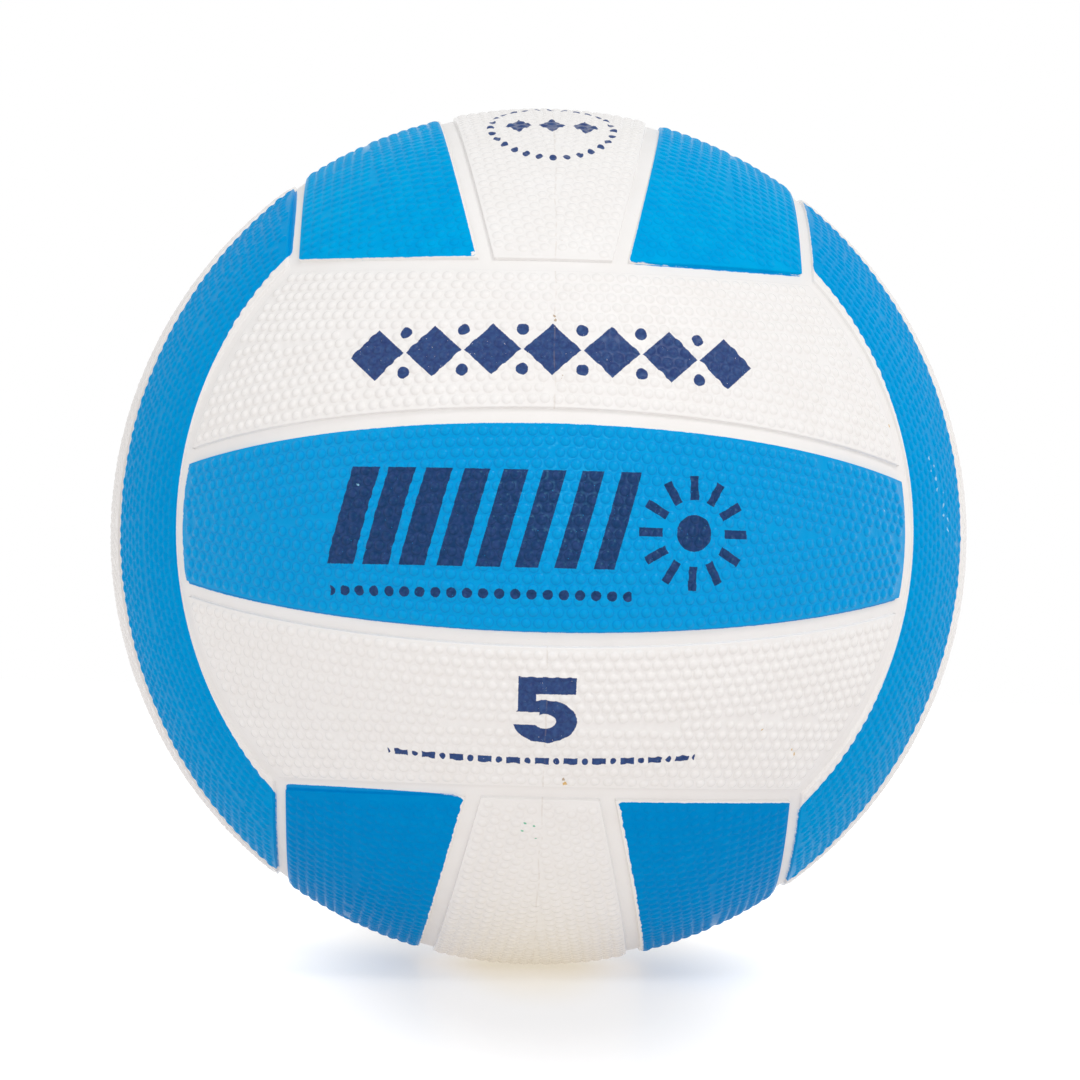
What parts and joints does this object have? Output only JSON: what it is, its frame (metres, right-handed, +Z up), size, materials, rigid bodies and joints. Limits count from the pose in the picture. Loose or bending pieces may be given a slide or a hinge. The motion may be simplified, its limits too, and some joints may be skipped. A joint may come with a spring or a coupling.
{
  "type": "netball",
  "caption": "Moulded rubber netball with pebbled blue and white strip panels, smooth recessed channels and a needle valve.",
  "frame": {"origin": "centre of the ball", "axes": "+Z up, the front face of the ball looks along -Y, the valve opens along +Y"},
  "size_m": [0.2222, 0.2223, 0.2222],
  "materials": {
    "blue_panel": "satin",
    "white_panel": "satin",
    "carcass_rubber": "satin",
    "thread": "matte",
    "butyl": "matte",
    "valve_rubber": "matte",
    "core_rubber": "matte"
  },
  "bodies": {
    "root": {"front_upper_panel": "white_panel", "front_middle_panel": "blue_panel", "front_lower_panel": "white_panel", "back_upper_panel": "white_panel", "back_middle_panel": "blue_panel", "back_lower_panel": "white_panel", "top_left_panel": "blue_panel", "top_middle_panel": "white_panel", "top_right_panel": "blue_panel", "bottom_left_panel": "blue_panel", "bottom_middle_panel": "white_panel", "bottom_right_panel": "blue_panel", "left_front_panel": "blue_panel", "left_middle_panel": "white_panel", "left_back_panel": "blue_panel", "right_front_panel": "blue_panel", "right_middle_panel": "white_panel", "right_back_panel": "blue_panel", "carcass": "carcass_rubber", "winding": "thread", "bladder": "butyl", "valve_body": "valve_rubber", "valve_core": "core_rubber"}
  },
  "joints": []
}
